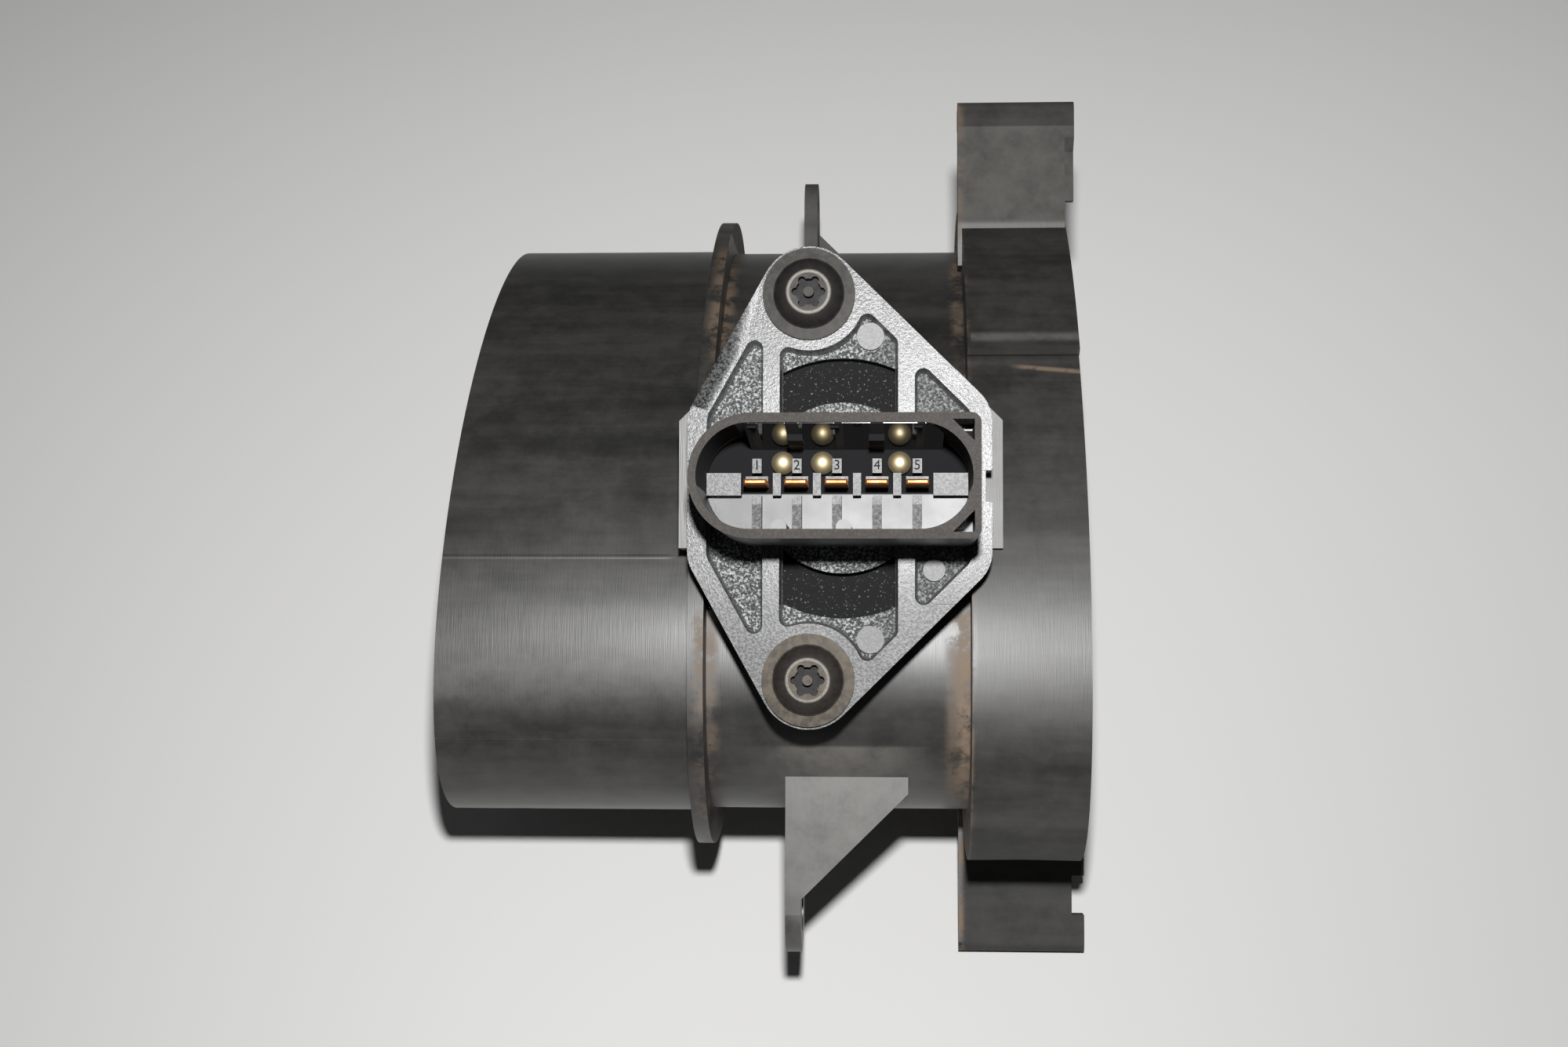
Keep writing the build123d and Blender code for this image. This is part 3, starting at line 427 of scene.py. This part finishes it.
def sensor_finish():
    finish = Finish("sensor_plastic")
    x, across, out = finish.leaning()
    craters = finish.noise(CRATERS)
    fine = finish.noise(FINE_CRATERS)
    stains = finish.noise(STAINS)

    sunk = short_of(out, DISC_LEVEL - 2 * STEP, 4 * STEP)
    floor = short_of(out, POCKET_LEVEL - STEP, 2 * STEP) * (1 - sunk)
    mark = past(out, POCKET_LEVEL, STEP) * short_of(out, MARK_LEVEL, STEP)
    shaded = past(x, SHADED_FROM_X, 4.0) * 0.6
    grime = short_of(across, GRIME_TO, 22.0)

    along = (x - CAVITY_MIDDLE_X).math("ABSOLUTE")
    inside = (short_of(along, CAVITY_HALF_LENGTH, STEP) * past(out, CAVITY_LEVEL, STEP) *
              short_of(across.math("ABSOLUTE"), CAVITY_HALF_WIDTH, STEP))
    mouth = past(out, MOUTH_LEVEL, STEP)
    bar = past(out, BAR_LEVEL - 2 * STEP, 2 * STEP) * short_of(out, BAR_TOP, 2 * STEP)
    polished = inside * (1 - mouth) * (1 - bar)
    wall = past(across, FAR_WALL_FROM, STEP)
    black_floor = past(across, FLOOR_FROM, 4 * STEP) * (1 - wall) * polished
    ribs = bar * inside
    lower_ribs = ribs * short_of(across, LOWER_RIBS_TO, 2 * STEP)

    satin = finish.blend(past(craters, *SATIN_CRATERS), RIM_DARK, RIM_PALE)
    # Painted glints: pale specks on the pocket floors and the sunk disc, fewer to the right as
    # painted shade.
    painted_glints = (past(craters, *POCKET_GLINTS) * floor * (1 - shaded) +
              past(craters, *DISC_GLINTS) * sunk * 0.5)
    dull = finish.blend(painted_glints, finish.blend(sunk, satin, DISC_BLACK), GLINT_PAINT)
    # Pale marks, and a faint painted sheen on the upper ribs of the socket.
    marked_and_sheened = finish.blend(mark * 0.5 + (ribs - lower_ribs) * 0.10, dull, MARK_AND_SHEEN_PALE)
    brown = finish.blend(mouth * 0.85, marked_and_sheened, MOUTH_BROWN)
    base = finish.blend(polished, brown, CAVITY_BLACK)
    rough = layered(SENSOR_ROUGH, (stains, 0.10), (floor, 0.12), (mark, 0.18), (sunk, 0.75),
                    (mouth, 0.42), (ribs, 0.12), (lower_ribs, 0.12), (grime * (1 - inside), 0.13),
                    (wall * polished, -0.18), (polished, 0.08), (black_floor, 0.7))
    depth = layered(0.35, (floor, 1.2), (sunk, 0.6)) * (1 - polished)
    return finish.surface(Base_Color=base, Roughness=rough, Specular_IOR_Level=SENSOR_SHINE,
                          Normal=finish.bump((craters + fine * 0.3) * depth, CRATER_DEPTH))


sensor_plastic = sensor_finish()
paint(sensor_plastic, "sensor_body", "electronics_cover", "channel_cover")
report(sensor_plastic)

# %% [markdown]
# The two screws are blackened steel, and the lower screw is dirty. The ring about the six-lobe
# socket is painted paler, a painted highlight, and the cone round it and the socket are painted
# dark, a painted shade. The distance from the screw's axis picks out ring, cone and socket for both
# screws at once, because they stand at equal distances on either side of the middle.

# %% Finish of the screws
SCREW_X = -4.23
SCREW_ACROSS = 24.4
SOCKET_RADIUS = 2.30
RING_RADIUS = 2.75
CONE_RADIUS = 4.2
HEAD_TOP = 51.4
DIRT_TO = -8.0
STEEL_DARK, STEEL_PALE = rgba(0.020, 0.019, 0.017), rgba(0.055, 0.050, 0.044)
DIRT_DARK, DIRT_PALE = rgba(0.040, 0.033, 0.026), rgba(0.090, 0.075, 0.058)
PAINTED_SHADE_BLACK = rgba(0.006, 0.005, 0.005)
RING_HIGHLIGHT = rgba(0.16, 0.15, 0.13)
STEEL_MARKS = (900.0, 5.0, 0.7)
CLEAN_STEP = (0.30, 0.45)
DIRTY_STEP = (0.35, 0.30)
STEEL_ROUGH = 0.50
STEEL_SHINE = 0.3
STEEL_RELIEF = 0.05


def screw_finish():
    """Painted shade on the cone and in the socket, a painted highlight on the ring about the
    socket, dirty below.
    """
    finish = Finish("screw_steel")
    x, across, out = finish.leaning()
    marks = finish.noise(STEEL_MARKS)
    aside = across.math("ABSOLUTE") - SCREW_ACROSS
    radius = ((x - SCREW_X).math("POWER", 2.0) + aside.math("POWER", 2.0)).math("SQRT")
    top = past(out, HEAD_TOP - 0.06, 0.03)
    ring = top * past(radius, SOCKET_RADIUS + 0.05, 0.15)
    cone = past(radius, RING_RADIUS, 0.05) * short_of(radius, CONE_RADIUS, 0.3)
    socket = short_of(radius, SOCKET_RADIUS, 0.1) * (1 - top)
    dirt = short_of(across, DIRT_TO, 16.0)
    clean = finish.blend(past(marks, *CLEAN_STEP), STEEL_DARK, STEEL_PALE)
    dirty = finish.blend(past(marks, *DIRTY_STEP), DIRT_DARK, DIRT_PALE)
    # Painted shade: the cone and the socket are painted near black.
    dark = finish.blend(cone * 0.8 + socket, finish.blend(dirt, clean, dirty), PAINTED_SHADE_BLACK)
    # Painted highlight: the ring about the socket is painted paler, less on the dirty screw.
    highlighted = finish.blend(ring * (0.5 - dirt * 0.3), dark, RING_HIGHLIGHT)
    rough = layered(STEEL_ROUGH, (marks, 0.2), (ring, -0.15), (cone, 0.1))
    return finish.surface(Base_Color=highlighted, Metallic=0.2, Roughness=rough,
                          Specular_IOR_Level=STEEL_SHINE,
                          Normal=finish.bump(marks, STEEL_RELIEF))


screw_steel = screw_finish()
paint(screw_steel, "sensor_screws")
report(screw_steel)

# %% [markdown]
# The contacts are stamped copper alloy, the pins turned brass, the screen drawn steel wire and
# the plates rolled sheet. Bare metals differ by colour and by how far they are polished, so one
# function serves them all. Another serves the plastics, the rubber, the board and the silicon,
# which are hidden inside or are too small to show more than their colour and their shine.

# %% Plain finishes
METAL_MARKS = (900.0, 4.0, 0.65)
PLAIN_MARKS = (600.0, 3.0, 0.6)
MARK_STEP = (0.3, 0.4)
MARK_DEPTH = 0.01


def metal(name, colour, dull, rough):
    finish = Finish(name)
    marks = finish.noise(METAL_MARKS)
    return finish.surface(Base_Color=finish.blend(past(marks, *MARK_STEP), colour, dull),
                          Metallic=1.0, Roughness=rough + marks * 0.2,
                          Normal=finish.bump(marks, MARK_DEPTH))


def plain(name, dark, pale, rough):
    finish = Finish(name)
    marks = finish.noise(PLAIN_MARKS)
    return finish.surface(Base_Color=finish.blend(past(marks, *MARK_STEP), dark, pale),
                          Roughness=rough + marks * 0.1, Normal=finish.bump(marks, MARK_DEPTH))


copper = metal("contact_copper", rgba(0.80, 0.36, 0.14), rgba(0.50, 0.20, 0.08), 0.48)
brass = metal("brass", rgba(0.90, 0.80, 0.55), rgba(0.74, 0.60, 0.34), 0.44)
wire = metal("screen_wire", rgba(0.62, 0.62, 0.60), rgba(0.42, 0.42, 0.41), 0.3)
plate = metal("plate_metal", rgba(0.62, 0.62, 0.62), rgba(0.5, 0.5, 0.5), 0.32)
rubber = plain("seal_rubber", rgba(0.012, 0.012, 0.012), rgba(0.03, 0.03, 0.03), 0.62)
grid = plain("grid_plastic", rgba(0.02, 0.02, 0.02), rgba(0.04, 0.04, 0.04), 0.42)
ceramic = plain("board_ceramic", rgba(0.74, 0.72, 0.66), rgba(0.82, 0.80, 0.76), 0.5)
chip = plain("chip_black", rgba(0.02, 0.02, 0.02), rgba(0.035, 0.035, 0.035), 0.4)
silicon = plain("silicon", rgba(0.14, 0.14, 0.18), rgba(0.2, 0.2, 0.26), 0.12)

paint(copper, *[f"contact_{number}" for number in range(1, 6)])
paint(brass, "screw_inserts", *[f"calibration_pin_{number}" for number in range(1, 4)])
paint(wire, "wire_screen")
paint(plate, "carrier_plate", "chip_holder")
paint(rubber, "inlet_seal", "o_ring")
paint(grid, "flow_grid", "grid_retainer")
paint(ceramic, "circuit_board")
paint(chip, "measuring_ic", "board_capacitors")
paint(silicon, "sensor_chip")
print("materials so far:", len(bpy.data.materials))

# %% [markdown]
# CAD meshes arrive with flat facets. Smoothing by angle keeps the true edges sharp and lets the
# curved walls shade as curves. It only changes normals, so no vertex of the frame moves. The
# screws take a smaller angle, because the six lobes of their sockets are small and shallow.

# %% Smooth the curved walls
SCREW_ANGLE = 14
WALL_ANGLE = 28


def select_only(piece):
    bpy.ops.object.select_all(action="DESELECT")
    piece.select_set(True)
    bpy.context.view_layer.objects.active = piece


for name, node in nodes.items():
    select_only(node)
    angle = SCREW_ANGLE if name == "sensor_screws" else WALL_ANGLE
    bpy.ops.object.shade_smooth_by_angle(angle=radians(angle))
bpy.ops.object.select_all(action="DESELECT")
print("smoothed:", len(nodes), "nodes")

# %% [markdown]
# Each of the three little posts between the contacts ends in a dome of soft brass. A dome is the
# upper part of a ball, so it is a ball whose lowest points are deleted, moved to its post by its
# points. Turning a profile would serve as well, but the ball has its even rings already. Two
# helpers here serve the later pieces too: one selects points by their place, the other leans a
# finished piece with the sensor and leaves the piece itself at the origin.

# %% Domes on the calibration posts
DOME_RADIUS = 1.45
DOME_CUT = 0.3 * DOME_RADIUS
DOME_LEVEL = 50.95
DOME_ACROSS = 2.75
DOME_X = (-7.37, -2.42, 7.23)
DOME_RINGS = 24


def edit_points(piece, wanted):
    """Enters edit mode with only the wanted points selected."""
    bpy.ops.object.mode_set(mode="EDIT")
    bpy.ops.mesh.select_all(action="DESELECT")
    bpy.ops.object.mode_set(mode="OBJECT")
    for point in piece.data.vertices:
        point.select = wanted(point.co)
    bpy.ops.object.mode_set(mode="EDIT")


def settle(piece, x, across, level):
    """Leans the piece's points with the sensor and leaves the piece itself at the origin."""
    piece.rotation_euler = (LEAN, 0, 0)
    piece.location = leaning(x, across, level)
    select_only(piece)
    bpy.ops.object.transform_apply(location=True, rotation=True, scale=True)


def dome(number, x):
    bpy.ops.object.select_all(action="DESELECT")
    bpy.ops.mesh.primitive_uv_sphere_add(segments=2 * DOME_RINGS, ring_count=DOME_RINGS,
                                         radius=DOME_RADIUS * MM)
    ball = bpy.context.active_object
    ball.name = f"post_dome_{number}"
    edit_points(ball, lambda place: place.z < -DOME_CUT * MM)
    bpy.ops.mesh.delete(type="VERT")
    bpy.ops.object.mode_set(mode="OBJECT")
    bpy.ops.object.shade_smooth()
    settle(ball, x, DOME_ACROSS, DOME_LEVEL)
    ball.data.materials.append(brass)
    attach(ball, "root")
    return ball


domes = [dome(number, x) for number, x in enumerate(DOME_X, 1)]
print("domes:", [piece.name for piece in domes])

# %% [markdown]
# The socket's far wall is not upright: it slopes in towards the floor so that the moulding can
# leave its tool, and its polish mirrors the brass domes. A block whose upper front edge is pushed
# back gives that slope with two moved points. Five dull columns on it are painted by their place
# along the wall, which is enough for marks this thin.

# %% Sloping far wall of the socket
WALL_FROM_X, WALL_TO_X = -11.4, 12.6
WALL_LOW, WALL_HIGH = 49.9, 64.9
WALL_FOOT, WALL_BACK = 4.5, 6.4
WALL_DEPTH = WALL_BACK - WALL_FOOT
WALL_TOP_DEPTH = 0.15
THIN_COLUMNS, THIN_REACH = (-10.33, -0.12, 9.76), 0.75
WIDE_COLUMNS, WIDE_REACH = (-5.70, 4.49), 1.25
COLUMN_STEP = (0.3, 0.2)
SMEARS = (240.0, 3.0, 0.6)
POLISH_ROUGH = 0.05
POLISH_SHINE = 0.75


def mirror_finish():
    finish = Finish("polished_wall")
    x = finish.leaning()[0]
    smears = finish.noise(SMEARS)
    columns = sum([close_to(x, place, THIN_REACH) for place in THIN_COLUMNS] +
                  [close_to(x, place, WIDE_REACH) for place in WIDE_COLUMNS], 0.0)
    rough = layered(POLISH_ROUGH, (smears, 0.05), (past(columns, *COLUMN_STEP), 0.8))
    return finish.surface(Base_Color=CAVITY_BLACK, Roughness=rough, Specular_IOR_Level=POLISH_SHINE)


def far_wall():
    bpy.ops.object.select_all(action="DESELECT")
    bpy.ops.mesh.primitive_cube_add(size=1.0)
    block = bpy.context.active_object
    block.name = "socket_far_wall"
    block.scale = (MM * (WALL_TO_X - WALL_FROM_X), MM * WALL_DEPTH, MM * (WALL_HIGH - WALL_LOW))
    bpy.ops.object.transform_apply(location=True, rotation=True, scale=True)
    edit_points(block, lambda place: place.y < 0 and place.z > 0)
    bpy.ops.transform.translate(value=(0, MM * (WALL_DEPTH - WALL_TOP_DEPTH), 0))
    bpy.ops.object.mode_set(mode="OBJECT")
    settle(block, (WALL_FROM_X + WALL_TO_X) / 2, (WALL_FOOT + WALL_BACK) / 2,
           (WALL_LOW + WALL_HIGH) / 2)
    block.data.materials.append(mirror_finish())
    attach(block, "root")
    return block


print("socket wall points:", len(far_wall().data.vertices))

# %% [markdown]
# The contacts are numbered on small tabs, one to five. Each number is a text turned into a mesh,
# thin enough to look moulded, and darker than its tab. An image on the tab would blur up close,
# and a mesh goes into the exported model with the rest.

# %% Contact numbers
CONTACT_X = (-10.57, -5.57, -0.57, 4.43, 9.43)
NUMBER_ACROSS = 2.35
NUMBER_LEVEL = 52.3
NUMBER_HEIGHT = 1.75
NUMBER_THICKNESS = 0.12
NUMBER_BLACK = rgba(0.012, 0.012, 0.012)
NUMBER_ROUGH = 0.7
NUMBER_SHINE = 0.1
CURVE_STEPS = 4

ink = Finish("number_plastic").surface(Base_Color=NUMBER_BLACK, Roughness=NUMBER_ROUGH,
                                       Specular_IOR_Level=NUMBER_SHINE)


def contact_number(number, x):
    bpy.ops.object.select_all(action="DESELECT")
    bpy.ops.object.text_add()
    text = bpy.context.active_object
    text.data.body = str(number)
    text.data.size = NUMBER_HEIGHT * MM
    text.data.align_x = "CENTER"
    text.data.align_y = "CENTER"
    text.data.extrude = NUMBER_THICKNESS / 2 * MM
    text.data.resolution_u = CURVE_STEPS
    bpy.ops.object.convert(target="MESH")
    digit = bpy.context.active_object
    digit.name = f"contact_number_{number}"
    settle(digit, x, NUMBER_ACROSS, NUMBER_LEVEL + NUMBER_THICKNESS / 2)
    digit.data.materials.append(ink)
    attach(digit, "root")
    return digit


digits = [contact_number(number, x) for number, x in enumerate(CONTACT_X, 1)]
print("numbers:", [digit.name for digit in digits])

# %% [markdown]
# The table is one large pale plane under the part. It reaches far enough for the camera never to
# see its edge. Its colour is painted paler away from the camera's side and a little darker to the
# right, painted light that evens out the fall of the light, and a little noise keeps it from
# looking like paper.

# %% Table
TABLE_HALF = 1.5
TABLE_NEAR_LEFT = rgba(0.60, 0.597, 0.588)
TABLE_NEAR_RIGHT = rgba(0.53, 0.528, 0.522)
TABLE_FAR = rgba(0.88, 0.875, 0.86)
TABLE_STAIN = rgba(0.45, 0.445, 0.43)
TABLE_CLOUDS = (9.0, 4.0, 0.55)
TABLE_SPECKS = (700.0, 2.0, 0.5)
GRADE_RIGHT = (-0.06, 0.12)
GRADE_AWAY = (-0.10, 0.16)
TABLE_ROUGH = 0.45
TABLE_SHINE = 0.3


def table_finish():
    finish = Finish("table_paint")
    clouds = finish.noise(TABLE_CLOUDS)
    specks = finish.noise(TABLE_SPECKS)
    right, away, _ = finish.split()
    # Painted light: graded paler away from the camera and a little darker to the right.
    near = finish.blend(right.smooth(*GRADE_RIGHT), TABLE_NEAR_LEFT, TABLE_NEAR_RIGHT)
    graded = finish.blend(away.smooth(*GRADE_AWAY), near, TABLE_FAR)
    return finish.surface(Base_Color=finish.blend(clouds * 0.06, graded, TABLE_STAIN),
                          Roughness=TABLE_ROUGH + specks * 0.1,
                          Specular_IOR_Level=TABLE_SHINE)


bpy.ops.object.select_all(action="DESELECT")
bpy.ops.mesh.primitive_plane_add(size=2 * TABLE_HALF)
top = bpy.context.active_object
top.name = "table_top"
top.data.materials.append(table_finish())
print("table is", 2 * TABLE_HALF, "m wide")

# %% [markdown]
# One small lamp stands a few centimetres above the lens, as a flash does, and draws the short
# shadow below every edge. A wide, weak lamp high over the table and a dim grey world fill the
# shadows. A sun would be simpler, but its rays are parallel, and the shadows of a near flash
# spread outwards from the middle.

# %% Lamps and world
FLASH_RISE = 0.045
FLASH_SIDE = 0.002
FLASH_SIZE = 0.014
FLASH_POWER = 1.4
FILL_PLACE = Vector((0.15, 0.25, 0.9))
FILL_SIZE = 0.8
FILL_POWER = 0.10
WORLD_COLOUR = rgba(0.9, 0.92, 0.95)
WORLD_LEVEL = 0.045


def lamp(name, place, size, power):
    data = bpy.data.lights.new(name, "AREA")
    data.shape = "DISK"
    data.size = size
    data.energy = power
    made = bpy.data.objects.new(name, data)
    bpy.context.scene.collection.objects.link(made)
    made.location = place
    made.rotation_euler = (AXIS - made.location).to_track_quat("-Z", "Y").to_euler()
    print(name, "at", tuple(round(v, 3) for v in made.location))


upright = Vector((0.0, sin(radians(ELEVATION)), cos(radians(ELEVATION))))
aside = Vector((FLASH_SIDE, 0, 0))
lamp("flash", camera.location + FLASH_RISE * upright + aside, FLASH_SIZE, FLASH_POWER)
lamp("ceiling", AXIS + FILL_PLACE, FILL_SIZE, FILL_POWER)

world = bpy.data.worlds.new("room")
bpy.context.scene.world = world
world.use_nodes = True
background = world.node_tree.nodes["Background"]
background.inputs["Color"].default_value = WORLD_COLOUR
background.inputs["Strength"].default_value = WORLD_LEVEL
bpy.context.scene.view_settings.view_transform = "Standard"

# %% [markdown]
# The new pieces all stay within the sensor.
